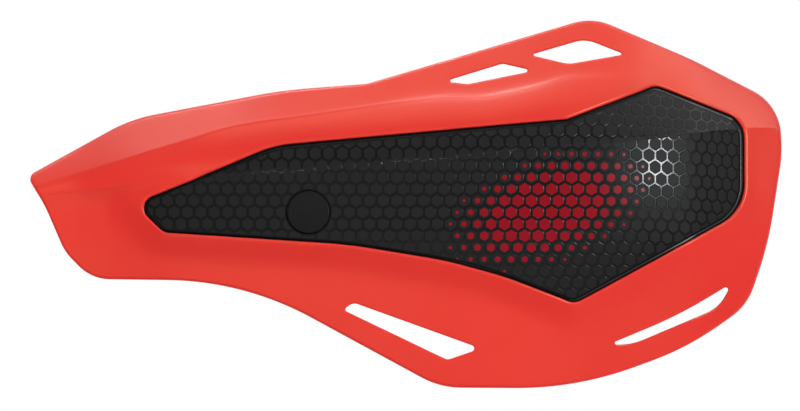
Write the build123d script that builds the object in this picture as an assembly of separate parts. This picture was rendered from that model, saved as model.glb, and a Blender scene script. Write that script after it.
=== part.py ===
from build123d import *
import math
import os

os.makedirs("parts", exist_ok=True)

# Hand guard for the left grip of a handlebar, in millimetres.
# X runs outboard, Y rearward and Z up; the front faces -Y.
# The origin lies on the fixing bolt's axis, in the seat that the mounting arm is clamped to.

# moulded shield
wall = 2.6
vent_round = 0.6

# recess for the panel
recess_depth = 1.8
floor_wall = 2.2
recess_round = 1.0
pad_margin = 3.0

# panel
panel_thickness = 1.0
panel_gap = 0.25
glue_film = 0.05
panel_edge_round = 0.4

# fixing bolt
bolt_diameter = 6.0
bolt_shank_diameter = 5.35
bolt_head_diameter = 10.5
bolt_head_height = 3.3
bolt_crown_diameter = 5.6
bolt_reach = 17.0
thread_diameter = 5.9
thread_chamfer = 0.7
socket_across_flats = 4.0
socket_depth = 2.0

# flanged sleeve that the bolt is tightened against
sleeve_diameter = 9.0
sleeve_bolt_clearance = 0.2
sleeve_bore_clearance = 0.05
sleeve_flange_land = 0.55
sleeve_flange_thickness = 1.5
sleeve_ledge = 6.5
sleeve_flange_clearance = 0.2
sleeve_flange_diameter = bolt_head_diameter + 2 * sleeve_flange_land
counterbore_diameter = sleeve_flange_diameter + 2 * sleeve_flange_clearance

# cap over the bolt
cap_lip = 0.7
cap_seat_depth = 0.3
cap_edge_thickness = 1.5
cap_dome = 0.5
cap_ring_length = 2.4
cap_ring_wall = 0.55
cap_ring_clearance = 0.05
cap_hole_clearance = 0.15
cap_diameter = counterbore_diameter + 2 * cap_lip
cap_hole_diameter = cap_diameter + 2 * cap_hole_clearance

# boss and arm channel on the back
arm_width = 20.0
arm_clearance = 0.2
channel_depth = 5.0
channel_rib = 3.3
boss_length = 30.0
boss_corner = 5.0
gusset_thickness = 2.4
gusset_run = 17.0
gusset_drop = 3.0
gusset_end = -9.0
channel_width = arm_width + 2 * arm_clearance
boss_height = channel_width + 2 * channel_rib

# edge of the shield seen from the front: x, z, corner radius
outline = [
    (-89.5, 11.4, 2.5),
    (-56.7, 29.6, 50.0),
    (-8.6, 38.7, 150.0),
    (18.6, 40.8, 8.0),
    (90.3, 62.1, 18.0),
    (122.0, 48.8, 120.0),
    (150.1, 34.6, 16.0),
    (151.2, 18.9, 45.0),
    (146.6, -10.2, 110.0),
    (140.0, -29.8, 19.0),
    (120.7, -43.3, 95.0),
    (85.3, -56.1, 110.0),
    (41.8, -55.8, 27.0),
    (-20.5, -21.9, 98.0),
    (-69.0, -21.3, 14.0),
    (-77.5, -12.6, 17.0),
    (-83.8, 2.1, 50.0),
]

# edge of the panel: x, z, corner radius
panel = [
    (-54.3, 2.6, 3.5),
    (-10.5, 20.3, 40.0),
    (82.1, 28.7, 3.5),
    (110.1, 39.3, 4.0),
    (137.5, 28.3, 7.0),
    (137.6, 0.8, 14.0),
    (84.2, -28.2, 4.0),
    (53.1, -16.2, 150.0),
    (12.8, -9.7, 150.0),
    (-45.5, -6.0, 4.0),
]

# air vents: x, z, corner radius
vents = [
    [(42.5, 41.5, 0.7), (61.6, 47.2, 3.0), (72.2, 44.9, 0.8), (50.5, 40.7, 3.5)],
    [(70.5, 50.0, 0.6), (88.0, 55.1, 10.0), (100.5, 50.2, 0.6), (82.6, 47.1, 10.0)],
    [(11.0, -31.0, 0.8), (14.2, -28.7, 3.0), (54.6, -43.3, 1.0), (44.1, -46.9, 2.3)],
    [(95.5, -42.1, 0.5), (117.8, -32.9, 150.0), (135.0, -22.6, 0.8), (130.6, -30.5, 12.0),
     (102.7, -42.2, 20.0)],
]

# lines along the shield: x and the value there
ridge_height = [(-96, 3.8), (-85, 5.7), (-26, 11.4), (45, 17.4), (110, 23.8), (139, 26.9), (160, 26.6)]
ridge_depth = [(-96, 0.8), (-85, -0.3), (-74, -1.4), (-66, -3.6), (-56, -6.6), (-40, -10.1), (-16, -13.1),
               (4, -14.1), (24, -14.2), (50, -13.4), (75, -11.4), (92, -8.5), (104, -4.9), (116, 0.6),
               (125, 6.1), (138, 17.6), (151, 30.3), (160, 39.0)]
ridge_bend = [(-96, 0.18), (-40, 0.10), (60, 0.11), (100, 0.27), (130, 0.70), (160, 0.85)]
crown_bend = [(-96, 0.05), (-60, 0.15), (-40, 0.45), (-20, 0.80), (60, 0.82), (100, 0.32), (130, 0.13),
              (160, 0.15)]
brow_height = [(-96, 6.6), (-85, 8.9), (-43, 21.6), (-24, 27.3), (-1, 30.8), (40, 36.4), (56, 36.8),
               (73, 40.3), (82, 43.0), (100, 44.0), (160, 48.0)]
brow_bend = [(-96, 0.75), (-60, 0.85), (-40, 0.70), (-20, 0.35), (0, 0.05), (20, -0.19), (40, -0.22),
             (70, -0.20), (95, -0.08), (120, 0.0), (160, 0.0)]
brow_step = [(-96, 0.0), (0, 0.0), (25, 1.0), (45, 3.0), (70, 3.0), (85, 1.5), (100, 0.3),
             (115, 0.0), (160, 0.0)]
skirt_drop = [(-96, 2.0), (-76, 2.6), (-60, 4.8), (-40, 5.2), (0, 4.8), (40, 4.0), (80, 4.0), (110, 5.4),
              (160, -2.0)]
belly_bend = [(-96, 0.0), (60, 0.09), (100, 0.27), (125, 0.28), (160, 0.35)]
crease_softness = [(-96, 4.0), (-84, 3.0), (-65, 1.6), (160, 1.6)]
sheet_top = [(-97, 20), (-60, 36), (10, 47), (90, 70), (158, 42)]
sheet_bottom = [(-97, -4), (-75, -26), (-30, -30), (40, -62), (80, -64), (125, -50), (158, -12)]
skirt_width = 9.5
skirt_ease = 2.0
skirt_fade = 4.0
panel_lip = 1.2
belly_height = 5.0
belly_softness = 14.0
flap_height = -10.0
flap_slope = 0.25
flap_softness = 6.0
flat_x = -70.0
flat_z = -8.0
panel_x = 30.0
left_end = -96.0
right_end = 158.0
station_count = 37
upper_rows = 5
middle_rows = 4
lower_rows = 18
crease_row = 1.5
front_limit = -60.0
back_limit = 90.0


def along(x, line):
    last = len(line) - 1
    slopes = []
    for i in range(last + 1):
        before = line[max(i - 1, 0)]
        after = line[min(i + 1, last)]
        slopes.append((after[1] - before[1]) / (after[0] - before[0]))
    if x <= line[0][0]:
        return line[0][1] + slopes[0] * (x - line[0][0])
    if x >= line[last][0]:
        return line[last][1] + slopes[last] * (x - line[last][0])
    i = max(k for k in range(last) if line[k][0] <= x)
    span = line[i + 1][0] - line[i][0]
    t = (x - line[i][0]) / span
    value = line[i][1] * (1 + 2 * t) * (1 - t) ** 2
    value += line[i + 1][1] * t * t * (3 - 2 * t)
    value += span * slopes[i] * t * (1 - t) ** 2
    value -= span * slopes[i + 1] * t * t * (1 - t)
    return value


def ramp(t, softness):
    return (t + math.hypot(t, softness)) / 2


def rise(t, softness):
    return (1 + t / math.hypot(t, softness)) / 2


def outside_panel(x, z):
    nearest = math.inf
    inside = False
    for i, (ax, az, radius) in enumerate(panel):
        bx, bz, radius = panel[(i + 1) % len(panel)]
        dx = bx - ax
        dz = bz - az
        t = ((x - ax) * dx + (z - az) * dz) / (dx * dx + dz * dz)
        t = max(0, min(1, t))
        nearest = min(nearest, math.hypot(x - ax - t * dx, z - az - t * dz))
        if (az > z) != (bz > z) and x < ax + (z - az) / dz * dx:
            inside = not inside
    return 0 if inside else nearest


def front_depth(x, z):
    above_ridge = z - along(x, ridge_height)
    above_brow = z - along(x, brow_height)
    softness = along(x, crease_softness)
    depth = along(x, ridge_depth)
    depth += along(x, ridge_bend) * ramp(above_ridge, softness)
    band = above_ridge - above_brow
    up_band = max(0, min(band, above_ridge))
    depth += along(x, crown_bend) * (up_band ** 2 / band / 2 + max(0, above_brow))
    depth += along(x, brow_bend) * ramp(above_brow, softness)
    depth += along(x, brow_step) * rise(above_brow, softness)
    depth += along(x, belly_bend) * (ramp(z - belly_height, belly_softness) - (z - belly_height) / 2)
    depth += flap_slope * ramp(flap_height - z, flap_softness)
    away = min(1, (math.hypot(outside_panel(x, z), skirt_ease) - skirt_ease) / skirt_width)
    below_ridge = 1 - rise(above_ridge + skirt_fade / 2, skirt_fade)
    depth += (along(x, skirt_drop) * below_ridge - panel_lip) * away * (2 - away)
    return depth


def level_depth(x, z, below):
    nudge = 0.25
    slope_x = (front_depth(x + nudge, z) - front_depth(x - nudge, z)) / (2 * nudge)
    slope_z = (front_depth(x, z + nudge) - front_depth(x, z - nudge)) / (2 * nudge)
    return front_depth(x, z) + below * math.sqrt(1 + slope_x * slope_x + slope_z * slope_z)


def row_heights(x):
    ridge = along(x, ridge_height)
    brow = along(x, brow_height)
    top = along(x, sheet_top)
    bottom = along(x, sheet_bottom)
    beside = min(crease_row, (brow - ridge) / 4)
    upper = [top + (brow + beside - top) * i / upper_rows for i in range(upper_rows + 1)]
    middle = [brow - beside + (ridge - brow + 2 * beside) * i / middle_rows for i in range(middle_rows + 1)]
    lower = [ridge - beside + (bottom - ridge + beside) * i / lower_rows for i in range(lower_rows + 1)]
    return upper + [brow] + middle + [ridge] + lower


def behind(below):
    sections = []
    for i in range(station_count):
        x = left_end + (right_end - left_end) * i / (station_count - 1)
        points = [(x, level_depth(x, z, below), z) for z in row_heights(x)]
        spacing = [k / (len(points) - 1) for k in range(len(points))]
        sections.append(Wire([Edge.make_spline(points, parameters=spacing)]))
    sheet = Shell.make_loft(sections).faces()[0]
    return Solid.extrude(sheet, Vector(0, back_limit - front_limit, 0))


def shape(corners):
    points = [(x, 0, z) for x, z, radius in corners]
    radii = [radius for x, z, radius in corners]
    return Face(Wire(FilletPolyline(points, radius=radii, close=True).edges()))


def prism(face):
    return Solid.extrude(Pos(0, front_limit, 0) * face, Vector(0, back_limit - front_limit, 0))


def face_at(body, x, y, z):
    return min(body.faces(), key=lambda face: face.distance_to(Vertex(x, y, z)))


def front_face(body):
    return face_at(body, flat_x, level_depth(flat_x, flat_z, 0), flat_z)


def round_bore(diameter, start, end):
    return Solid.make_cylinder(diameter / 2, end - start, Plane((0, start, 0), z_dir=(0, 1, 0)))


def turned(points):
    return revolve(Face(Wire.make_polygon(points, close=True)), Axis.Y).solid()


floor_block = behind(recess_depth)
middle_block = behind(wall / 2)
cap_seat = level_depth(0, 0, recess_depth) + cap_seat_depth
head_seat = -sleeve_ledge - sleeve_flange_thickness

# shield
panel_face = shape(panel)
guard_shell = (prism(shape(outline)) & behind(0)) - behind(wall)

# thicker floor, boss and gussets on the back
pad = prism(offset(panel_face, pad_margin).face()) & middle_block
pad -= behind(recess_depth + floor_wall)
boss = Box(boss_length, channel_depth - front_limit, boss_height,
           align=(Align.CENTER, Align.MAX, Align.CENTER))
boss = Pos(0, channel_depth, 0) * fillet(boss.edges().filter_by(Axis.Y), boss_corner)
side_reach = boss_length / 2 + gusset_run
side_gusset = Polyline(
    (-side_reach, front_limit), (-side_reach, gusset_end), (-boss_length / 2, -gusset_drop),
    (boss_length / 2, -gusset_drop), (side_reach, gusset_end), (side_reach, front_limit), close=True)
side_gusset = extrude(make_face(side_gusset), gusset_thickness / 2, both=True)
tall_gusset = Box(gusset_thickness, -gusset_drop - front_limit, boss_height + 2 * gusset_run,
                  align=(Align.CENTER, Align.MAX, Align.CENTER))
tall_gusset = Pos(0, -gusset_drop, 0) * tall_gusset
guard_shell += [pad, boss & middle_block, side_gusset & middle_block, tall_gusset & middle_block]

# recess, bolt holes, arm channel and vents
guard_shell -= prism(offset(panel_face, panel_gap).face()) - floor_block
guard_shell -= round_bore(cap_hole_diameter, front_limit, cap_seat)
guard_shell -= round_bore(counterbore_diameter, front_limit, -sleeve_ledge)
guard_shell -= round_bore(sleeve_diameter + 2 * sleeve_bore_clearance, front_limit, back_limit)
guard_shell -= Box(boss_length, channel_depth, channel_width, align=(Align.CENTER, Align.MIN, Align.CENTER))
for vent in vents:
    guard_shell -= prism(shape(vent))
guard_shell = guard_shell.solid()
openings = sorted(front_face(guard_shell).inner_wires(), key=lambda wire: wire.length)
guard_shell = guard_shell.fillet(recess_round, openings[-1].edges())
for vent in vents:
    wires = front_face(guard_shell).inner_wires()
    x, z, radius = vent[0]
    nearest = min(wires, key=lambda wire: wire.distance_to(Vertex(x, front_depth(x, z), z)))
    guard_shell = guard_shell.fillet(vent_round, nearest.edges())

# panel, glued to the floor of the recess
panel_front = recess_depth - glue_film - panel_thickness
graphic_panel = (prism(panel_face) & behind(panel_front)) - behind(recess_depth - glue_film)
graphic_panel -= round_bore(cap_hole_diameter, front_limit, back_limit)
graphic_panel = graphic_panel.solid()
panel_top = face_at(graphic_panel, panel_x, level_depth(panel_x, 0, panel_front), 0)
graphic_panel = graphic_panel.fillet(panel_edge_round, panel_top.outer_wire().edges())

# cap pressed into the counterbore
cap_radius = cap_diameter / 2
ring_radius = counterbore_diameter / 2 - cap_ring_clearance
cap_edge = cap_seat - cap_edge_thickness
ring_bore = ring_radius - cap_ring_wall
ring_end = cap_seat + cap_ring_length
crown_radius = (cap_radius ** 2 / cap_dome + cap_dome) / 2
crown = RadiusArc((0, cap_edge - cap_dome), (cap_radius, cap_edge), -crown_radius)
body = Polyline(
    (cap_radius, cap_edge), (cap_radius, cap_seat), (ring_radius, cap_seat), (ring_radius, ring_end),
    (ring_bore, ring_end), (ring_bore, cap_seat), (0, cap_seat), (0, cap_edge - cap_dome))
bolt_cap = revolve(make_face([crown, body]), Axis.Y).solid()

# fixing bolt
head_radius = bolt_head_diameter / 2
mount_bolt = turned([
    (0, head_seat - bolt_head_height), (bolt_crown_diameter / 2, head_seat - bolt_head_height),
    (head_radius, head_seat - bolt_head_height / 4), (head_radius, head_seat),
    (bolt_shank_diameter / 2, head_seat), (bolt_shank_diameter / 2, 0),
    (thread_diameter / 2, 0), (thread_diameter / 2, bolt_reach - thread_chamfer),
    (thread_diameter / 2 - thread_chamfer, bolt_reach), (0, bolt_reach)])
socket = extrude(Plane.XZ * RegularPolygon(socket_across_flats / 2, 6, major_radius=False), -socket_depth)
mount_bolt -= Pos(0, head_seat - bolt_head_height, 0) * socket

# flanged sleeve
sleeve_bore = bolt_diameter / 2 + sleeve_bolt_clearance
bolt_sleeve = turned([
    (sleeve_bore, head_seat), (sleeve_flange_diameter / 2, head_seat),
    (sleeve_flange_diameter / 2, -sleeve_ledge), (sleeve_diameter / 2, -sleeve_ledge),
    (sleeve_diameter / 2, 0), (sleeve_bore, 0)])

export_step(guard_shell, "parts/guard_shell.step")
export_step(graphic_panel, "parts/graphic_panel.step")
export_step(bolt_cap, "parts/bolt_cap.step")
export_step(mount_bolt, "parts/mount_bolt.step")
export_step(bolt_sleeve, "parts/bolt_sleeve.step")
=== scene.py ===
import math
import bmesh
import bpy
import numpy as np
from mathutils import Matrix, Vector
from mathutils.geometry import delaunay_2d_cdt
from mathutils.kdtree import KDTree


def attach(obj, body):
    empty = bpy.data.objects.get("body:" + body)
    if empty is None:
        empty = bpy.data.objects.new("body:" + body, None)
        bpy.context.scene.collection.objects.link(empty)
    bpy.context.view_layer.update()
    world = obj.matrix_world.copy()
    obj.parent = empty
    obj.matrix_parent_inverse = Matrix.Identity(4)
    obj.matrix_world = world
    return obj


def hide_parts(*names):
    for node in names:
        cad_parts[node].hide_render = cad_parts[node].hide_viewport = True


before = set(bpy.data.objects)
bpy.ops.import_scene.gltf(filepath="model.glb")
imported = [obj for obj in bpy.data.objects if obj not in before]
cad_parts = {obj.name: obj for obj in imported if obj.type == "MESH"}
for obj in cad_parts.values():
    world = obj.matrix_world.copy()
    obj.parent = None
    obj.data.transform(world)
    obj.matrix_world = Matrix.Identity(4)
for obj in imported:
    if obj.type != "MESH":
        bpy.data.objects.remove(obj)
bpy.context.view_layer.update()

mm = 0.001  # shapes below are in millimetres, as in the solids
print("frame loaded")

# surface of the shield: lines along it are x and the value there
form = {
    "ridgeHeight": [(-96, 3.8), (-85, 5.7), (-26, 11.4), (45, 17.4), (110, 23.8), (139, 26.9), (160, 26.6)],
    "ridgeDepth": [(-96, 0.8), (-85, -0.3), (-74, -1.4), (-66, -3.6), (-56, -6.6), (-40, -10.1), (-16, -13.1),
                   (4, -14.1), (24, -14.2), (50, -13.4), (75, -11.4), (92, -8.5), (104, -4.9), (116, 0.6),
                   (125, 6.1), (138, 17.6), (151, 30.3), (160, 39.0)],
    "ridgeBend": [(-96, 0.18), (-40, 0.10), (60, 0.11), (100, 0.27), (130, 0.70), (160, 0.85)],
    "crownBend": [(-96, 0.05), (-60, 0.15), (-40, 0.45), (-20, 0.80), (60, 0.82), (100, 0.32), (130, 0.13),
                  (160, 0.15)],
    "browHeight": [(-96, 6.6), (-85, 8.9), (-43, 21.6), (-24, 27.3), (-1, 30.8), (40, 36.4), (56, 36.8),
                   (73, 40.3), (82, 43.0), (100, 44.0), (160, 48.0)],
    "browBend": [(-96, 0.75), (-60, 0.85), (-40, 0.70), (-20, 0.35), (0, 0.05), (20, -0.19), (40, -0.22),
                 (70, -0.20), (95, -0.08), (120, 0.0), (160, 0.0)],
    "browStep": [(-96, 0.0), (0, 0.0), (25, 1.0), (45, 3.0), (70, 3.0), (85, 1.5), (100, 0.3), (115, 0.0),
                 (160, 0.0)],
    "skirtDrop": [(-96, 2.0), (-76, 2.6), (-60, 4.8), (-40, 5.2), (0, 4.8), (40, 4.0), (80, 4.0), (110, 5.4),
                  (160, -2.0)],
    "bellyBend": [(-96, 0.0), (60, 0.09), (100, 0.27), (125, 0.28), (160, 0.35)],
    "ridgeSoftness": [(-96, 1.5), (-80, 0.6), (160, 0.6)],
    "browSoftness": [(-96, 1.5), (-80, 0.6), (-10, 0.6), (20, 1.6), (160, 1.6)],
    "ridgeBead": [(-96, 0.16), (160, 0.16)],
    "browBead": [(-96, 0.16), (55, 0.16), (75, 0.12), (88, 0.0), (160, 0.0)],
    "beadWidth": 0.40,
    "skirtWidth": 9.5, "skirtEase": 2.0, "skirtFade": 4.0, "panelLip": 1.2,
    "bellyHeight": 5.0, "bellySoftness": 14.0,
    "flapHeight": -10.0, "flapSlope": 0.25, "flapSoftness": 6.0,
}

# edges seen from the front are x, z and corner radius
shield = {
    "outline": [(-89.5, 11.4, 2.5), (-56.7, 29.6, 50.0), (-8.6, 38.7, 150.0), (18.6, 40.8, 8.0),
                (90.3, 62.1, 18.0), (122.0, 48.8, 120.0), (150.1, 34.6, 16.0), (151.2, 18.9, 45.0),
                (146.6, -10.2, 110.0),
                (140.0, -29.8, 19.0), (120.7, -43.3, 95.0), (85.3, -56.1, 110.0), (41.8, -55.8, 27.0),
                (-20.5, -21.9, 98.0), (-69.0, -21.3, 14.0), (-77.5, -12.6, 17.0), (-83.8, 2.1, 50.0)],
    "vents": [[(43.1, 41.5, 0.5), (61.6, 47.2, 3.0), (71.6, 44.95, 0.55), (50.5, 40.7, 3.5)],
              [(70.5, 50.0, 0.4), (88.0, 55.1, 10.0), (100.5, 50.2, 0.4), (82.6, 47.1, 10.0)],
              [(11.0, -31.0, 0.8), (14.2, -28.7, 3.0), (54.6, -43.3, 1.0), (44.1, -46.9, 2.3)],
              [(95.5, -42.1, 0.5), (117.8, -32.9, 150.0), (135.0, -22.6, 0.8), (130.6, -30.5, 12.0),
               (102.7, -42.2, 20.0)]],
    "wall": 2.6, "rimRound": 1.0, "ventRound": 0.6,
    "recessDepth": 1.8,
    "capSeat": 6.85, "capSeatDepth": -11.394, "counterbore": 6.0, "sleeveLedge": 6.5, "sleeveBore": 4.55,
    "bossLength": 30.0, "bossHeight": 27.0, "bossCorner": 5.0, "bossRound": 0.7, "bossFoot": 1.2,
    "channelWidth": 20.4, "channelDepth": 5.0,
    "gussetThickness": 2.4, "gussetRun": 17.0, "gussetDrop": 3.0, "gussetEnd": -9.0,
}

panel = {
    "outline": [(-54.3, 2.6, 3.5), (-10.5, 20.3, 40.0), (82.1, 28.7, 3.5), (110.1, 39.3, 4.0),
                (137.5, 28.3, 7.0), (137.6, 0.8, 14.0), (84.2, -28.2, 4.0), (53.1, -16.2, 150.0),
                (12.8, -9.7, 150.0), (-45.5, -6.0, 4.0)],
    "front": 0.75, "back": 1.75, "hole": 6.85, "edgeRound": 0.35, "border": 0.6,
    "cellPitch": 4.29, "cellGap": 0.45, "cellHeight": 0.08, "cellBevel": 0.22,
    "fadeCentre": (76.0, 1.0), "fadeReach": (40.0, 20.0), "fadeTilt": 0.35,
    "fadeGain": 1.7, "fadeLeast": 0.25, "fadeFull": 0.9,
    "rowDrift": 0.11, "driftFrom": 112.0, "driftSoftness": 12.0,
    "glintReach": 66.0, "glintHalf": 1.0,
}


def lineAt(x, line):
    px, py = np.array(line, float).T
    lower = np.maximum(np.arange(len(px)) - 1, 0)
    upper = np.minimum(np.arange(len(px)) + 1, len(px) - 1)
    slope = (py[upper] - py[lower]) / (px[upper] - px[lower])
    i = np.clip(np.searchsorted(px, x, "right") - 1, 0, len(px) - 2)
    span = px[i + 1] - px[i]
    t = np.clip((x - px[i]) / span, 0, 1)
    value = py[i] * (1 + 2 * t) * (1 - t) ** 2 + py[i + 1] * t * t * (3 - 2 * t)
    value += span * slope[i] * t * (1 - t) ** 2 - span * slope[i + 1] * t * t * (1 - t)
    return value + np.minimum(x - px[0], 0) * slope[0] + np.maximum(x - px[-1], 0) * slope[-1]


def ramp(t, softness):
    return (t + np.hypot(t, softness)) / 2


def rise(t, softness):
    return (1 + t / np.hypot(t, softness)) / 2


# distance outside a straight-sided outline, zero within
def outsideOutline(x, z, corners):
    nearest = np.full(x.shape, 1e9)
    within = np.zeros(x.shape, bool)
    for (ax, az, ar), (bx, bz, br) in zip(corners, corners[1:] + corners[:1]):
        dx, dz = bx - ax, bz - az
        t = np.clip(((x - ax) * dx + (z - az) * dz) / (dx * dx + dz * dz), 0, 1)
        nearest = np.minimum(nearest, np.hypot(x - ax - t * dx, z - az - t * dz))
        within ^= ((az > z) != (bz > z)) & (x < ax + (z - az) / (dz if dz else 1) * dx)
    return np.where(within, 0, nearest)


def frontDepth(x, z):
    aboveRidge = z - lineAt(x, form["ridgeHeight"])
    aboveBrow = z - lineAt(x, form["browHeight"])
    browSoftness = lineAt(x, form["browSoftness"])
    depth = lineAt(x, form["ridgeDepth"])
    depth += lineAt(x, form["ridgeBend"]) * ramp(aboveRidge, lineAt(x, form["ridgeSoftness"]))
    band = aboveRidge - aboveBrow
    crown = np.clip(aboveRidge, 0, band) ** 2 / band / 2 + np.maximum(aboveBrow, 0)
    depth += lineAt(x, form["crownBend"]) * crown
    depth += lineAt(x, form["browBend"]) * ramp(aboveBrow, browSoftness)
    depth += lineAt(x, form["browStep"]) * rise(aboveBrow, browSoftness)
    depth -= lineAt(x, form["ridgeBead"]) * np.exp(-(aboveRidge / form["beadWidth"]) ** 2)
    depth -= lineAt(x, form["browBead"]) * np.exp(-(aboveBrow / form["beadWidth"]) ** 2)
    belly = z - form["bellyHeight"]
    depth += lineAt(x, form["bellyBend"]) * (ramp(belly, form["bellySoftness"]) - belly / 2)
    depth += form["flapSlope"] * ramp(form["flapHeight"] - z, form["flapSoftness"])
    ease = form["skirtEase"]
    t = np.minimum((np.hypot(outsideOutline(x, z, panel["outline"]), ease) - ease) / form["skirtWidth"], 1)
    belowRidge = 1 - rise(aboveRidge + form["skirtFade"] / 2, form["skirtFade"])
    return depth + (lineAt(x, form["skirtDrop"]) * belowRidge - form["panelLip"]) * t * (2 - t)


def slopes(x, z, nudge=0.25):
    across = (frontDepth(x + nudge, z) - frontDepth(x - nudge, z)) / (2 * nudge)
    up = (frontDepth(x, z + nudge) - frontDepth(x, z - nudge)) / (2 * nudge)
    return across, up


def levelDepth(x, z, below):
    across, up = slopes(x, z)
    return frontDepth(x, z) + below * np.sqrt(1 + across ** 2 + up ** 2)


# closed edge as evenly spaced points with outward normals
class Loop:
    def __init__(self, points):
        turned = np.roll(points, -1, axis=0)
        if (points[:, 0] * turned[:, 1] - turned[:, 0] * points[:, 1]).sum() < 0:
            points = points[::-1]
        self.points = points
        ahead = np.roll(points, -1, axis=0) - np.roll(points, 1, axis=0)
        normal = np.stack([ahead[:, 1], -ahead[:, 0]], 1)
        self.normal = normal / np.linalg.norm(normal, axis=1)[:, None]
        self.tree = KDTree(len(points))
        for index, (x, z) in enumerate(points):
            self.tree.insert((x, z, 0), index)
        self.tree.balance()

    def grown(self, distance):
        return self.points + self.normal * np.broadcast_to(distance, len(self.points))[:, None]

    # distance from the edge, positive inside
    def inside(self, x, z):
        near = np.array([self.tree.find((a, b, 0))[1] for a, b in zip(x, z)], int)
        place = np.stack([x, z], 1)
        result = np.full(len(x), 1e9)
        for step in (-1, 1):
            start = self.points[near]
            edge = self.points[(near + step) % len(self.points)] - start
            t = np.clip(((place - start) * edge).sum(1) / (edge ** 2).sum(1), 0, 1)
            result = np.minimum(result, np.linalg.norm(place - start - edge * t[:, None], axis=1))
        side = ((place - self.points[near]) * self.normal[near]).sum(1)
        return np.where(side < 0, result, -result)


def roundedLoop(corners, step):
    path = []
    for i, (x, z, radius) in enumerate(corners):
        here = Vector((x, z))
        back = (Vector(corners[i - 1][:2]) - here).normalized()
        ahead = (Vector(corners[(i + 1) % len(corners)][:2]) - here).normalized()
        half = back.angle(ahead) / 2
        centre = here + (back + ahead).normalized() * (radius / math.sin(half))
        start = here + back * (radius / math.tan(half)) - centre
        turn = math.copysign(math.pi - 2 * half, back.y * ahead.x - back.x * ahead.y)
        pieces = max(3, int(abs(turn) * max(radius / step, 6)))
        for k in range(pieces + 1):
            c, s = math.cos(turn * k / pieces), math.sin(turn * k / pieces)
            path.append(centre + Vector((start.x * c - start.y * s, start.x * s + start.y * c)))
    points = []
    for a, b in zip(path, path[1:] + path[:1]):
        pieces = max(1, round((b - a).length / step))
        points += [a.lerp(b, k / pieces) for k in range(pieces)]
    return Loop(np.array([(p.x, p.y) for p in points]))


def circle(radius, count):
    turn = np.arange(count) * 2 * math.pi / count
    return np.stack([radius * np.cos(turn), radius * np.sin(turn)], 1)


# points and edges in the front view, each point with a value of its own
class Field:
    def __init__(self):
        self.points = []
        self.edges = []
        self.values = []

    def add(self, points, value=0.0, kind="points"):
        first = len(self.points)
        count = len(points)
        self.points += [Vector(p) for p in points]
        self.values += list(np.broadcast_to(value, count))
        links = {"points": 0, "chain": count - 1, "loop": count}[kind]
        self.edges += [(first + k, first + (k + 1) % count) for k in range(links)]

    def triangles(self, keep):
        result = delaunay_2d_cdt(self.points, self.edges, [], 0, 1e-5, True)
        flat = np.array([(v.x, v.y) for v in result[0]])
        faces = np.array([f for f in result[2] if len(f) == 3])
        middle = flat[faces].mean(1)
        values = np.array([max((self.values[k] for k in origin), default=0) for origin in result[3]])
        return flat, faces[keep(middle[:, 0], middle[:, 1])], values


def finishMesh(name, verts, faces, sharpAngle=None, merge=1e-7):
    mesh = bpy.data.meshes.new(name)
    mesh.from_pydata(verts, [], faces)
    bm = bmesh.new()
    bm.from_mesh(mesh)
    bmesh.ops.remove_doubles(bm, verts=bm.verts, dist=merge)
    bmesh.ops.delete(bm, geom=[v for v in bm.verts if not v.link_faces], context="VERTS")
    bmesh.ops.recalc_face_normals(bm, faces=bm.faces)
    openEdges = sum(len(e.link_faces) != 2 for e in bm.edges)
    for face in bm.faces:
        face.smooth = True
    bm.to_mesh(mesh)
    bm.free()
    if sharpAngle:
        mesh.set_sharp_from_angle(angle=math.radians(sharpAngle))
    piece = bpy.data.objects.new(name, mesh)
    bpy.context.scene.collection.objects.link(piece)
    print(name, len(mesh.polygons), "faces,", openEdges, "open edges")
    return piece


# front and back surfaces over the same edges, sewn into one skin
def closedSkin(name, front, back, sharpAngle=None):
    verts = []
    faces = []
    for flat, triangles, depth in (front, back):
        faces += (triangles + len(verts)).tolist()
        verts += [(x * mm, y * mm, z * mm) for (x, z), y in zip(flat, depth)]
    return finishMesh(name, verts, faces, sharpAngle)


# points in rows that follow the ridge and the brow
def formRows(spacing, far):
    near = [0.0, 0.2, 0.45, 0.8, 1.3, 2.0, 3.0, 4.4]
    away = near + list(np.arange(4.4 + far, 90, far))
    between = (1 - np.cos(np.linspace(0, math.pi, 15))) / 2
    points = []
    for x in np.arange(-88.5, 151, spacing):
        ridge = lineAt(np.array([x]), form["ridgeHeight"])[0]
        brow = lineAt(np.array([x]), form["browHeight"])[0]
        heights = [ridge - d for d in away] + [brow + d for d in away]
        heights += list(ridge + (brow - ridge) * between)
        heights += [ridge + d for d in near[:5] if d < (brow - ridge) / 3]
        heights += [brow - d for d in near[:5] if d < (brow - ridge) / 3]
        points += [(x, z) for z in heights]
    return np.array(points)


# in from an edge of round 1, and how far the surface drops
rimSteps = [(0.0, 1.3), (0.03, 0.78), (0.10, 0.57), (0.22, 0.37), (0.40, 0.20), (0.62, 0.075), (0.85, 0.012),
            (1.05, 0.0)]
# out from the panel, and how far the surface drops
recessSteps = [(-0.4, 1.8), (0.06, 1.8), (0.16, 1.74), (0.22, 1.60), (0.26, 1.35), (0.29, 1.0), (0.34, 0.69),
               (0.43, 0.49), (0.59, 0.29), (0.81, 0.13), (1.05, 0.03), (1.3, 0.0)]
# out from the panel, and how thick the wall is there
padSteps = [(2.0, 4.0), (2.5, 3.94), (2.9, 3.68), (3.1, 3.25), (3.3, 2.92), (3.7, 2.68), (4.2, 2.6)]

outlineLoop = Loop(roundedLoop(shield["outline"], 0.9).grown(-0.012))
ventLoops = [roundedLoop(v, 0.45) for v in shield["vents"]]
panelLoop = roundedLoop(panel["outline"], 0.7)
bossLoop = roundedLoop([(sx * shield["bossLength"] / 2, sz * shield["bossHeight"] / 2, shield["bossCorner"])
                        for sx, sz in ((-1, -1), (1, -1), (1, 1), (-1, 1))], 0.8)


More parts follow.
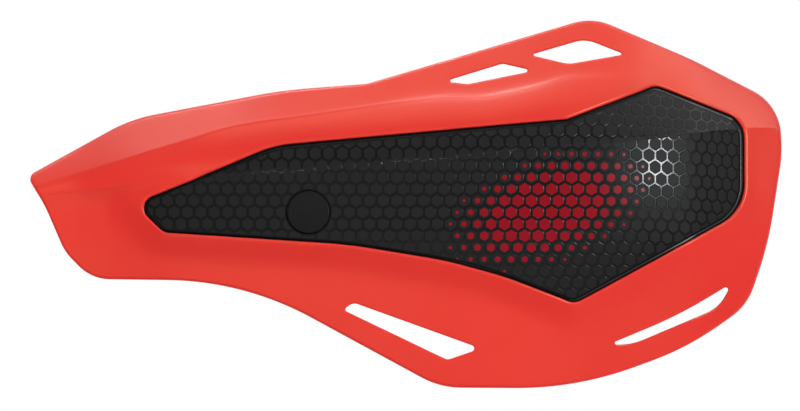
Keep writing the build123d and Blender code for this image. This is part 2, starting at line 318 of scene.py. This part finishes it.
def inShield(x, z):
    keep = (outlineLoop.inside(x, z) > 0) & (np.hypot(x, z) > shield["sleeveBore"] - 0.01)
    for vent in ventLoops:
        keep &= vent.inside(x, z) < 0
    return keep


# true for points clear of the outer rim and the vents
def clearOfRims(x, z):
    clear = outlineLoop.inside(x, z) > 1.7
    for vent in ventLoops:
        clear &= vent.inside(x, z) < -1.2
    return clear


def addRims(field, sign):
    for inset, drop in rimSteps:
        half = shield["wall"] / 2
        size = shield["rimRound"]
        field.add(outlineLoop.grown(-inset * size), sign * min(drop * (size if inset else 1), half), "loop")
        size = shield["ventRound"]
        for vent in ventLoops:
            field.add(vent.grown(inset * size), sign * (drop * size if inset else half), "loop")


# how much wider the recess wall looks where the surface turns away
def wallLean():
    across, up = slopes(*panelLoop.points.T)
    lean = (panelLoop.normal * np.stack([across, up], 1)).sum(1)
    lean = shield["recessDepth"] * np.maximum(lean, 0) / np.sqrt(1 + across ** 2 + up ** 2)
    window = np.ones(9) / 9
    return np.convolve(np.concatenate([lean[-4:], lean, lean[:4]]), window, "valid")


def shieldFront():
    field = Field()
    addRims(field, 1)
    lean = wallLean()
    deep = shield["recessDepth"]
    for out, drop in recessSteps:
        wide = lean * (1 - drop / deep) ** 0.6 if out > 0.2 else 0
        field.add(panelLoop.grown(out + wide), drop, "loop")
    bore, step, seat = shield["sleeveBore"], shield["counterbore"], shield["capSeat"]
    for radius in (bore, bore + 0.04, bore + 0.5, step - 0.04, step, step + 0.3,
                   seat - 0.04, seat, seat + 0.4):
        field.add(circle(radius, 48), deep, "loop")
    points = formRows(1.5, 2.0)
    x, z = points.T
    inPanel = panelLoop.inside(x, z)
    keep = clearOfRims(x, z) & (np.hypot(x, z) > 8.2) & ((inPanel < -3.2) | (inPanel > 1.2))
    field.add(points[keep], np.where(inPanel[keep] > 0, deep, 0))
    flat, faces, drop = field.triangles(inShield)
    x, z = flat.T
    depth = levelDepth(x, z, drop)
    around = np.hypot(x, z)
    depth = np.where(around < shield["capSeat"] - 0.02, shield["capSeatDepth"], depth)
    depth = np.where(around < shield["counterbore"] - 0.02, -shield["sleeveLedge"], depth)
    return flat, faces, np.where(around < bore + 0.02, -shield["sleeveLedge"] / 2, depth)


def quarterDrop(inset, radius):
    t = np.clip(inset / radius, 0, 1)
    return radius * (1 - np.sqrt(1 - (1 - t) ** 2))


def bossTop(x, z):
    inBoss = bossLoop.inside(x, z)
    beyond = np.abs(z) - shield["channelWidth"] / 2
    size = shield["bossRound"]
    rib = shield["channelDepth"] - np.maximum(quarterDrop(inBoss, size), quarterDrop(beyond, size))
    return np.where(inBoss > -0.001, np.where(beyond > -0.001, rib, -quarterDrop(inBoss, size) * 0.5), -99)


def gussetTop(x, z):
    half = shield["gussetThickness"] / 2 + 0.001
    reach = shield["bossLength"] / 2
    fall = (shield["gussetEnd"] + shield["gussetDrop"]) / shield["gussetRun"]
    side = -shield["gussetDrop"] + fall * np.maximum(np.abs(x) - reach, 0)
    side = np.where((np.abs(z) < half) & (np.abs(x) < reach + shield["gussetRun"]), side, -99)
    tallReach = shield["bossHeight"] / 2 + shield["gussetRun"]
    return np.where((np.abs(x) < half) & (np.abs(z) < tallReach), -shield["gussetDrop"], side)


def shieldBack():
    field = Field()
    addRims(field, -1)
    pad = padSteps[0][1] - shield["wall"]
    for out, thick in padSteps:
        field.add(panelLoop.grown(out), thick - shield["wall"], "loop")
    for out in (1.2, 0.7, 0.3, 0.05, 0.0, -0.05, -0.15, -0.35, -0.7):
        field.add(bossLoop.grown(out), pad, "loop")
    for radius in (shield["sleeveBore"], shield["sleeveBore"] + 0.04, shield["sleeveBore"] + 0.5):
        field.add(circle(radius, 48), pad, "loop")
    channel = shield["channelWidth"] / 2
    half = shield["gussetThickness"] / 2
    for side in (-1, 1):
        for out in (-0.04, 0.0, 0.05, 0.2, 0.45, 0.7):
            field.add([(x, side * (channel + out)) for x in np.linspace(-14.2, 14.2, 41)], pad, "chain")
        for out in (0.0, 0.06):
            for end in (-1, 1):
                field.add([(end * x, side * (half + out)) for x in np.linspace(16.4, 33, 27)], pad, "chain")
                field.add([(side * (half + out), end * z) for z in np.linspace(14.9, 31, 27)], pad, "chain")
    points = formRows(2.0, 2.4)
    x, z = points.T
    inPanel = panelLoop.inside(x, z)
    keep = clearOfRims(x, z) & ((inPanel < -5.0) | (inPanel > -1.2)) & (np.hypot(x, z) > 5.8)
    keep &= (np.abs(bossLoop.inside(x, z)) > 1.8) & (np.abs(np.abs(z) - channel) > 1.0)
    keep &= (np.abs(np.abs(z) - half) > 0.5) | (np.abs(x) > 34)
    keep &= (np.abs(np.abs(x) - half) > 0.5) | (np.abs(z) > 32)
    field.add(points[keep], np.where(inPanel[keep] > -3, pad, 0))
    flat, faces, extra = field.triangles(inShield)
    x, z = flat.T
    depth = levelDepth(x, z, shield["wall"] + extra)
    root = np.clip(1 + bossLoop.inside(x, z) / shield["bossFoot"], 0, 1)
    depth += shield["bossFoot"] * (1 - np.sqrt(1 - root ** 2))
    depth = np.maximum(depth, np.maximum(bossTop(x, z), gussetTop(x, z)))
    around = np.hypot(x, z)
    return flat, faces, np.where(around < shield["sleeveBore"] + 0.02, -shield["sleeveLedge"] / 2, depth)


# faces in the recess, darkened more the deeper they lie below the surface, as painted shade for the shadowed
# gap around the panel and the cap
def markRecessShade(piece):
    middle = np.array([p.center for p in piece.data.polygons]) / mm
    x, y, z = middle.T
    across, up = slopes(x, z)
    below = (y - frontDepth(x, z)) / np.sqrt(1 + across ** 2 + up ** 2)
    recess = np.clip((below - 0.35) / 0.5, 0, 1) * (below < 2.4) * (panelLoop.inside(x, z) > -2.5)
    layer = piece.data.attributes.new("recess", "FLOAT", "FACE")
    layer.data.foreach_set("value", recess.astype(np.float32))


shieldPiece = closedSkin("shield", shieldFront(), shieldBack(), 50)
markRecessShade(shieldPiece)

# the flat sheet that the cells are laid out on: u along the ridge, v across it
arcX = np.linspace(-64, 150, 1071)
arcU = np.concatenate([[0], np.cumsum(np.hypot(np.diff(arcX), np.diff(lineAt(arcX, form["ridgeDepth"]))))])
arcU -= np.interp(0, arcX, arcU)
rowStep = panel["cellPitch"] * math.sqrt(3) / 2
cellHalf = (panel["cellPitch"] - panel["cellGap"]) / 2


def sheetHeight(x, z):
    stretch = np.sqrt(1 + lineAt(x, form["ridgeBend"]) ** 2) - 1
    drift = panel["rowDrift"] * ramp(x - panel["driftFrom"], panel["driftSoftness"])
    return z + stretch * ramp(z - lineAt(x, form["ridgeHeight"]), 1.6) + drift


def fromSheet(u, v):
    x = np.interp(u, arcU, arcX)
    z = v
    for step in range(6):
        z = z + v - sheetHeight(x, z)
    return x, z


# distance from the middle of the nearest cell, flat to flat, and how far its colour fades
def cellAt(x, z):
    u, v = np.interp(x, arcX, arcU), sheetHeight(x, z)
    best = np.full(u.shape, 1e9)
    fade = np.zeros(u.shape)
    for shift in (-1, 0, 1):
        row = np.round(v / rowStep) + shift
        column = np.round(u / panel["cellPitch"] - 0.5 * (row % 2)) + 0.5 * (row % 2)
        du = np.abs(u - column * panel["cellPitch"])
        dv = np.abs(v - row * rowStep)
        across = np.maximum(du, du / 2 + dv * math.sqrt(3) / 2)
        fade = np.where(across < best, fadeAt(column * panel["cellPitch"], row * rowStep), fade)
        best = np.minimum(best, across)
    return best, fade


# share of a cell that carries the accent colour
def fadeAt(u, v):
    x, z = fromSheet(u, v)
    dx, dz = x - panel["fadeCentre"][0], z - panel["fadeCentre"][1]
    c, s = math.cos(panel["fadeTilt"]), math.sin(panel["fadeTilt"])
    away = np.hypot((dx * c + dz * s) / panel["fadeReach"][0], (dz * c - dx * s) / panel["fadeReach"][1])
    share = np.clip(panel["fadeGain"] * (1 - away), 0, 1)
    return np.where(share < panel["fadeLeast"], 0, share)


def hexagon(size):
    turn = math.pi / 6 + np.arange(6) * math.pi / 3
    corner = size / math.cos(math.pi / 6)
    ring = np.stack([corner * np.cos(turn), corner * np.sin(turn)], 1)
    ahead = np.roll(ring, -1, axis=0)
    return np.concatenate([[a + (b - a) * 0.12, a + (b - a) * 0.88] for a, b in zip(ring, ahead)])


def inSheet(x, z):
    return (panelLoop.inside(x, z) > 0) & (np.hypot(x, z) > panel["hole"] * math.cos(math.pi / 64))


def edgeDistance(x, z):
    return np.minimum(panelLoop.inside(x, z), np.hypot(x, z) - panel["hole"])


def panelFront():
    field = Field()
    for inset in (0.0, 0.03, 0.10, 0.2, 0.35, panel["border"]):
        field.add(panelLoop.grown(-inset), 0, "loop")
        field.add(circle(panel["hole"] + inset, 64), 0, "loop")
    ridgeX = np.arange(-50.0, 137, 1.0)
    for out in (-0.4, -0.15, 0.15, 0.4):
        points = np.stack([ridgeX, lineAt(ridgeX, form["ridgeHeight"]) + out], 1)
        field.add(points[edgeDistance(*points.T) > panel["border"] + 0.3], 0, "chain")
    rows = range(round(-34 / rowStep), round(50 / rowStep))
    columns = range(round(-62 / panel["cellPitch"]), round(165 / panel["cellPitch"]))
    for row in rows:
        for column in columns:
            u, v = (column + 0.5 * (row % 2)) * panel["cellPitch"], row * rowStep
            x, z = fromSheet(np.array([u]), np.array([v]))
            if edgeDistance(x, z)[0] < panel["border"] - 1.6:
                continue
            share = fadeAt(np.array([u]), np.array([v]))[0]
            sizes = [cellHalf, cellHalf - panel["cellBevel"]]
            if 0 < share < panel["fadeFull"]:
                sizes.append((cellHalf - panel["cellBevel"]) * share)
            for size in sizes:
                ring = hexagon(size) + (u, v)
                points = np.stack(fromSheet(*ring.T), 1)
                clear = edgeDistance(*points.T)
                if clear.min() > panel["border"]:
                    field.add(points, 0, "loop")
                elif clear.max() > panel["border"] + 0.3:
                    low = clear < panel["border"] + 0.02
                    for k in range(12):
                        if low[k - 1] and not low[k]:
                            order = [(k + n) % 12 for n in range(12)]
                            run = order[:next(n for n in range(1, 13) if n == 12 or low[order[n]])]
                            field.add(points[run], 0, "chain")
    flat, faces = field.triangles(inSheet)[:2]
    x, z = flat.T
    edge = edgeDistance(x, z)
    across = cellAt(x, z)[0]
    cell = np.clip((cellHalf - across) / panel["cellBevel"], 0, 1) * (edge > panel["border"] + 0.01)
    below = panel["front"] + panel["cellHeight"] * (1 - cell) + quarterDrop(edge, panel["edgeRound"])
    depth = levelDepth(x, z, np.where(edge < 0.01, panel["back"] - 0.3, below))
    return flat, faces, depth


def panelBack():
    field = Field()
    for inset in (0.0, 0.03):
        field.add(panelLoop.grown(-inset), 0, "loop")
        field.add(circle(panel["hole"] + inset, 64), 0, "loop")
    points = formRows(4.0, 4.0)
    field.add(points[edgeDistance(*points.T) > 1.0])
    flat, faces = field.triangles(inSheet)[:2]
    x, z = flat.T
    depth = levelDepth(x, z, np.where(edgeDistance(x, z) < 0.01, panel["back"] - 0.3, panel["back"]))
    return flat, faces, depth


# faces that are cell tops, coloured tops, grooves, or grooves over the ridge that glint
def markCells(piece):
    mesh = piece.data
    middle = np.array([p.center for p in mesh.polygons]) / mm
    across, fade = cellAt(middle[:, 0], middle[:, 2])
    within = edgeDistance(middle[:, 0], middle[:, 2]) > panel["border"]
    cell = (across < cellHalf - 0.85 * panel["cellBevel"]) & within
    core = (across > cellHalf - 0.02) & within
    top = cellHalf - panel["cellBevel"]
    accent = cell & (across < np.where(fade < panel["fadeFull"], fade * top, cellHalf))
    overRidge = np.abs(middle[:, 2] - lineAt(middle[:, 0], form["ridgeHeight"])) < panel["glintHalf"]
    glint = ~cell & within & overRidge & (middle[:, 0] < panel["glintReach"])
    for name, values in (("cell", cell), ("accent", accent), ("core", core), ("glint", glint)):
        layer = mesh.attributes.new(name, "FLOAT", "FACE")
        layer.data.foreach_set("value", values.astype(np.float32))


panelPiece = closedSkin("honeycombPanel", panelFront(), panelBack(), 12)
markCells(panelPiece)

cap = {"radius": 6.7, "edgeRound": 0.4, "dome": 0.5, "thickness": 1.5,
       "ringOuter": 5.95, "ringInner": 5.4, "ringLength": 2.4}


# a round piece about the bolt: radius and y of each ring, the radius may follow the turn
def turnedPiece(name, rings, count, sharpAngle):
    verts = []
    for radius, y in rings:
        for k in range(count):
            turn = 2 * math.pi * k / count
            r = radius(turn) if callable(radius) else radius
            verts.append((r * math.cos(turn) * mm, y * mm, r * math.sin(turn) * mm))
    faces = []
    for start in range(0, (len(rings) - 1) * count, count):
        for k in range(count):
            ahead = (k + 1) % count
            faces.append((start + k, start + ahead, start + count + ahead, start + count + k))
    return finishMesh(name, verts, faces, sharpAngle, 2e-6)


def makeCap():
    seat = shield["capSeatDepth"]
    inner = cap["radius"] - cap["edgeRound"]
    crown = [inner * k / 12 for k in range(13)]
    rings = [(r, seat - cap["thickness"] - cap["dome"] * (1 - (r / cap["radius"]) ** 2)) for r in crown]
    start = rings[-1][1]
    for k in range(1, 8):
        turn = math.pi / 2 * k / 7
        size = cap["edgeRound"]
        rings.append((inner + size * math.sin(turn), start + size * (1 - math.cos(turn))))
    end = seat + cap["ringLength"]
    rings += [(cap["radius"], seat - 0.1), (cap["radius"] - 0.1, seat), (cap["ringOuter"], seat),
              (cap["ringOuter"], end - 0.2), (cap["ringOuter"] - 0.2, end),
              (cap["ringInner"], end), (cap["ringInner"], seat), (0, seat)]
    return turnedPiece("boltCap", rings, 96, 35)


bolt = {"headSeat": -8.0, "headRadius": 5.25, "headHeight": 3.3, "crown": 2.8, "shank": 2.675,
        "threadOuter": 2.95, "threadInner": 2.45, "pitch": 1.0, "reach": 17.0,
        "socket": 2.0, "socketDepth": 2.0}


def makeBolt():
    top = bolt["headSeat"] - bolt["headHeight"]
    floor = top + bolt["socketDepth"]

    def socket(turn):
        return bolt["socket"] / math.cos((turn + math.pi / 6) % (math.pi / 3) - math.pi / 6)

    def thread(t):
        turns = (bolt["reach"] - 1.0) / bolt["pitch"]
        grow = max(0.0, min(1.0, t, turns - t + 0.2))

        def radius(turn):
            phase = (t - turn / (2 * math.pi)) % 1
            wave = min(1.0, max(0.0, 1.35 * (1 - abs(2 * phase - 1)) - 0.12))
            height = 0.45 + (wave - 0.45) * grow
            return bolt["threadInner"] + (bolt["threadOuter"] - bolt["threadInner"]) * height
        return radius

    rings = [(0, floor + 0.6), (lambda a: socket(a) * 0.97, floor), (socket, floor - 0.06),
             (socket, top + 0.15), (lambda a: socket(a) + 0.15, top), (bolt["crown"], top)]
    for k in range(1, 9):
        turn = math.pi / 2 * k / 8
        rings.append((bolt["crown"] + (bolt["headRadius"] - bolt["crown"]) * math.sin(turn),
                      top + bolt["headHeight"] * 0.75 * (1 - math.cos(turn))))
    rings += [(bolt["headRadius"], bolt["headSeat"] - 0.12), (bolt["headRadius"] - 0.12, bolt["headSeat"]),
              (bolt["shank"], bolt["headSeat"]), (bolt["shank"], -0.6)]
    steps = 10
    for k in range(int((bolt["reach"] - 1.0) / bolt["pitch"]) * steps + 1):
        rings.append((thread(k / steps), k / steps * bolt["pitch"]))
    end = bolt["reach"]
    rings += [(bolt["threadInner"], end - 0.5), (bolt["threadInner"] - 0.3, end), (0, end)]
    return turnedPiece("mountBolt", rings, 48, 40)


sleeve = {"bore": 3.2, "radius": 4.5, "flange": 5.8, "flangeTop": -8.0, "ledge": -6.5, "chamfer": 0.3}


def makeSleeve():
    c = sleeve["chamfer"]
    rings = [(sleeve["bore"], -c), (sleeve["bore"] + c, 0), (sleeve["radius"] - c, 0), (sleeve["radius"], -c),
             (sleeve["radius"], sleeve["ledge"]), (sleeve["flange"], sleeve["ledge"]),
             (sleeve["flange"], sleeve["flangeTop"] + c), (sleeve["flange"] - c, sleeve["flangeTop"]),
             (sleeve["bore"] + c, sleeve["flangeTop"]), (sleeve["bore"], sleeve["flangeTop"] + c),
             (sleeve["bore"], -c)]
    return turnedPiece("boltSleeve", rings, 64, 30)


# a shader socket that works in sums
class Wire:
    def __init__(self, tree, socket):
        self.tree = tree
        self.socket = socket

    def math(self, operation, first, second):
        node = self.tree.nodes.new("ShaderNodeMath")
        node.operation = operation
        connect(self.tree, node.inputs[0], first)
        connect(self.tree, node.inputs[1], second)
        return Wire(self.tree, node.outputs[0])

    def __add__(self, other):
        return self.math("ADD", self, other)

    def __radd__(self, other):
        return self.math("ADD", other, self)

    def __sub__(self, other):
        return self.math("SUBTRACT", self, other)

    def __rsub__(self, other):
        return self.math("SUBTRACT", other, self)

    def __mul__(self, other):
        return self.math("MULTIPLY", self, other)

    def __rmul__(self, other):
        return self.math("MULTIPLY", other, self)


def connect(tree, socket, value):
    if isinstance(value, Wire):
        tree.links.new(value.socket, socket)
    else:
        socket.default_value = value


class Nodes:
    def __init__(self, owner):
        owner.use_nodes = True
        self.owner = owner
        self.tree = owner.node_tree
        self.tree.nodes.clear()

    def node(self, kind, settings, sockets, output=0):
        node = self.tree.nodes.new(kind)
        for key, value in settings.items():
            setattr(node, key, value)
        for key, value in sockets.items():
            connect(self.tree, node.inputs[key], value)
        if node.outputs:
            return Wire(self.tree, node.outputs[output])

    def show(self, shader):
        self.node(self.outlet, {}, {"Surface": shader})


class Finish(Nodes):
    outlet = "ShaderNodeOutputMaterial"

    def __init__(self, name):
        super().__init__(bpy.data.materials.new(name))
        self.place = self.node("ShaderNodeTexCoord", {}, {}, "Object")

    def noise(self, scale, detail=2.0):
        return self.node("ShaderNodeTexNoise", {}, {"Vector": self.place, "Scale": scale, "Detail": detail})

    def mix(self, factor, first, second):
        return self.node("ShaderNodeMix", {"data_type": "RGBA"}, {0: factor, 6: first, 7: second}, 2)

    def value(self, name):
        return self.node("ShaderNodeAttribute", {"attribute_name": name}, {}, "Fac")

    def bump(self, height, distance, strength):
        return self.node("ShaderNodeBump", {}, {"Height": height, "Distance": distance, "Strength": strength})

    def plastic(self, sockets):
        return self.node("ShaderNodeBsdfPrincipled", {}, sockets)

    def blend(self, factor, first, second):
        return self.node("ShaderNodeMixShader", {}, {0: factor, 1: first, 2: second})

    def surface(self, sockets):
        self.show(self.plastic(sockets))
        return self.owner


class Sky(Nodes):
    outlet = "ShaderNodeOutputWorld"


# a screen colour of 0 to 255 as a linear one
def tone(colour, shift=0):
    levels = [(c + shift) / 255 for c in colour]
    return tuple(((c + 0.055) / 1.055) ** 2.4 if c > 0.04045 else c / 12.92 for c in levels) + (1.0,)


# the third colour is painted shade, laid into the recess where shadow falls
redPlastic = {"colour": (227, 53, 48), "sheen": (255, 226, 168), "recessShade": (16, 9, 9), "spread": 2,
              "roughness": 0.33, "specular": 0.12, "cloud": 60, "grain": 2600, "grainDepth": 0.01 * mm}


def redFinish():
    f = Finish("redPlastic")
    cloud = f.noise(redPlastic["cloud"])
    grain = f.bump(f.noise(redPlastic["grain"]), redPlastic["grainDepth"], 0.3)
    colour, spread = redPlastic["colour"], redPlastic["spread"]
    red = f.plastic({
        "Base Color": f.mix(cloud, tone(colour, -spread), tone(colour, spread)),
        "Roughness": redPlastic["roughness"] + 0.04 * (cloud - 0.5),
        "Specular IOR Level": redPlastic["specular"],
        "Specular Tint": tone(redPlastic["sheen"]),
        "Normal": grain})
    # painted shade: a near-black finish blended in by depth in the recess, in place of the shadow there
    recessShade = f.plastic({"Base Color": tone(redPlastic["recessShade"]), "Roughness": 0.4,
                      "Specular IOR Level": redPlastic["specular"], "Normal": grain})
    f.show(f.blend(f.value("recess"), red, recessShade))
    return f.owner


honeycomb = {"cell": (29, 29, 30), "line": (13, 13, 14), "accent": (138, 14, 28), "spread": 5,
             "cellRoughness": 0.5, "lineRoughness": 0.3, "accentPolish": 0.2, "specular": 0.03,
             "lineGloss": 0.045, "ridgeGloss": 0.18, "glossRoughness": 0.12,
             "grain": 3200, "grainDepth": 0.03 * mm}


def honeycombFinish():
    f = Finish("honeycombPrint")
    cell = f.value("cell")
    accent = f.value("accent")
    grain = f.noise(honeycomb["grain"])
    colour, spread = honeycomb["cell"], honeycomb["spread"]
    black = f.mix(grain, tone(colour, -spread), tone(colour, spread))
    top = f.mix(accent, black, tone(honeycomb["accent"]))
    matt = honeycomb["cellRoughness"] - honeycomb["lineRoughness"]
    return f.surface({
        "Base Color": f.mix(cell, tone(honeycomb["line"]), top),
        "Roughness": honeycomb["lineRoughness"] + cell * matt - accent * honeycomb["accentPolish"],
        "Specular IOR Level": honeycomb["specular"],
        "Coat Weight": honeycomb["lineGloss"] * f.value("core") + honeycomb["ridgeGloss"] * f.value("glint"),
        "Coat Roughness": honeycomb["glossRoughness"],
        "Normal": f.bump(grain * cell, honeycomb["grainDepth"], 0.5)})


capPlastic = {"colour": (19, 19, 20), "roughness": 0.42, "specular": 0.032, "cloud": 90, "spread": 3,
              "grain": 2400, "grainDepth": 0.02 * mm}


def capFinish():
    f = Finish("capPlastic")
    grain = f.noise(capPlastic["grain"])
    colour, spread = capPlastic["colour"], capPlastic["spread"]
    return f.surface({
        "Base Color": f.mix(f.noise(capPlastic["cloud"]), tone(colour, -spread), tone(colour, spread)),
        "Roughness": capPlastic["roughness"] + 0.1 * (grain - 0.5),
        "Specular IOR Level": capPlastic["specular"],
        "Normal": f.bump(grain, capPlastic["grainDepth"], 0.4)})


def steelFinish(name, colour, roughness, wearScale, grain):
    f = Finish(name)
    wear = f.noise(wearScale, 4.0)
    return f.surface({
        "Base Color": f.mix(wear, tone(colour, -18), tone(colour)),
        "Metallic": 1.0,
        "Roughness": roughness + 0.15 * (wear - 0.5),
        "Normal": f.bump(f.noise(grain), 0.01 * mm, 0.4)})


zincPlate = {"colour": (198, 199, 203), "roughness": 0.32, "wearScale": 600, "grain": 5000}
turnedSteel = {"colour": (190, 191, 195), "roughness": 0.26, "wearScale": 600, "grain": 5000}

for piece, node, slotName, material in (
        (shieldPiece, "guard_shell", "shell", redFinish()),
        (panelPiece, "graphic_panel", "panel", honeycombFinish()),
        (makeCap(), "bolt_cap", "cap", capFinish()),
        (makeBolt(), "mount_bolt", "bolt", steelFinish("zincPlate", **zincPlate)),
        (makeSleeve(), "bolt_sleeve", "sleeve", steelFinish("turnedSteel", **turnedSteel))):
    piece.data.materials.append(material)
    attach(piece, "root")
    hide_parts(node)
print("pieces placed and finished")

studio = {"floorHeight": -0.16, "floorSize": 0.9, "floorTone": 0.85, "floorGloss": 0.05, "ambient": 0.15,
          "softTint": (1.0, 0.98, 0.96), "glossTint": (1.0, 0.98, 0.95), "aim": (0.03, 0, 0)}
# light the surfaces and are not seen in them
softLamps = {
    "left": {"place": (-0.94, -0.73, 1.00), "size": (1.0, 0.8), "power": 15.6},
    "right": {"place": (1.29, -0.74, 0.43), "size": (1.0, 0.8), "power": 12.4},
    "lowLeft": {"place": (-0.39, -1.08, -0.96), "size": (1.0, 0.8), "power": 8.3},
    "lowRight": {"place": (0.82, -0.58, -1.11), "size": (1.0, 0.8), "power": 7.9},
    "rearHigh": {"place": (0.50, 1.35, 0.55), "size": (1.0, 0.8), "power": 13},
    "rearLow": {"place": (-0.60, 1.35, -0.35), "size": (1.0, 0.8), "power": 8},
}
# are seen in the surfaces and do not light them
glossLamps = {
    "table": {"place": (0.25, -1.20, -0.55), "size": (2.0, 0.7), "power": 12.4},
    "top": {"place": (0.42, -0.02, 1.25), "size": (1.7, 1.45), "power": 45},
    "crest": {"place": (-0.32, -0.18, 1.25), "size": (0.55, 0.45), "power": 3.2},
    "strip": {"place": (-0.35, 0.62, 1.20), "size": (0.80, 0.14), "power": 9},
    "edge": {"place": (1.12, 0.02, 0.66), "size": (0.7, 0.7), "power": 13},
    "glint": {"place": (-0.12, -1.57, 0.25), "size": (0.90, 0.05), "power": 10.3, "tint": (1.0, 1.0, 1.0)},
    "window": {"place": (1.34, -1.01, 0.196), "size": (0.26, 0.20), "power": 59.8, "tint": (0.93, 0.98, 1.0)},
}
# much farther off, the views from other sides would pass their far clip
view = {"pixel": 0.3176 * mm, "boltAt": (308.57, 212.14), "frame": (800, 411), "distance": 5.9}


def addObject(name, data):
    thing = bpy.data.objects.new(name, data)
    bpy.context.scene.collection.objects.link(thing)
    return thing


def makeFloor():
    mesh = bpy.data.meshes.new("floor")
    s, z = studio["floorSize"], studio["floorHeight"]
    mesh.from_pydata([(-s, -s, z), (s, -s, z), (s, s, z), (-s, s, z)], [], [(0, 1, 2, 3)])
    f = Finish("paleFloor")
    light, dark = studio["floorTone"], studio["floorTone"] * 0.97
    mesh.materials.append(f.surface({
        "Base Color": f.mix(f.noise(3), (dark, dark, dark, 1), (light, light, light, 1)),
        "Roughness": 0.7,
        "Specular IOR Level": studio["floorGloss"]}))
    floor = addObject("floor", mesh)
    floor.visible_shadow = False  # the low lamps stand under it
    floor.visible_diffuse = floor.visible_glossy = False


def makeLamp(name, lamp, tint, soft):
    data = bpy.data.lights.new(name, "AREA")
    data.shape = "RECTANGLE"
    data.size, data.size_y = lamp["size"]
    data.energy = lamp["power"]
    data.color = lamp.get("tint", tint)
    thing = addObject(name, data)
    thing.location = lamp["place"]
    thing.rotation_euler = (Vector(studio["aim"]) - thing.location).to_track_quat("-Z", "Y").to_euler()
    thing.visible_camera = False
    thing.visible_diffuse = soft
    thing.visible_glossy = not soft


def makeLights():
    for name, lamp in softLamps.items():
        makeLamp(name, lamp, studio["softTint"], True)
    for name, lamp in glossLamps.items():
        makeLamp(name, lamp, studio["glossTint"], False)


# soft light all round, and a white background for the camera, reflections and glass
def makeWorld():
    sky = Sky(bpy.data.worlds.new("studio"))
    bpy.context.scene.world = sky.owner
    around, backdrop = [sky.node("ShaderNodeBackground", {}, {"Color": (1, 1, 1, 1), "Strength": level})
                        for level in (studio["ambient"], 1.0)]
    for ray in ("Is Glossy Ray", "Is Transmission Ray", "Is Camera Ray"):
        path = sky.node("ShaderNodeLightPath", {}, {}, ray)
        around = sky.node("ShaderNodeMixShader", {}, {0: path, 1: around, 2: backdrop})
    sky.show(around)


def makeCamera():
    data = bpy.data.cameras.new("camera")
    camera = addObject("camera", data)
    width, height = view["frame"]
    pixel, (across, down) = view["pixel"], view["boltAt"]
    camera.location = ((width / 2 - across) * pixel, -view["distance"], (down - height / 2) * pixel)
    camera.rotation_euler = (math.pi / 2, 0, 0)
    data.sensor_width = 36
    data.lens = 36 * view["distance"] / (width * pixel)
    data.clip_end = 2 * view["distance"]
    bpy.context.scene.camera = camera


makeFloor()
makeLights()
makeWorld()
makeCamera()
bpy.context.scene.view_settings.view_transform = "Standard"
print("stage ready")
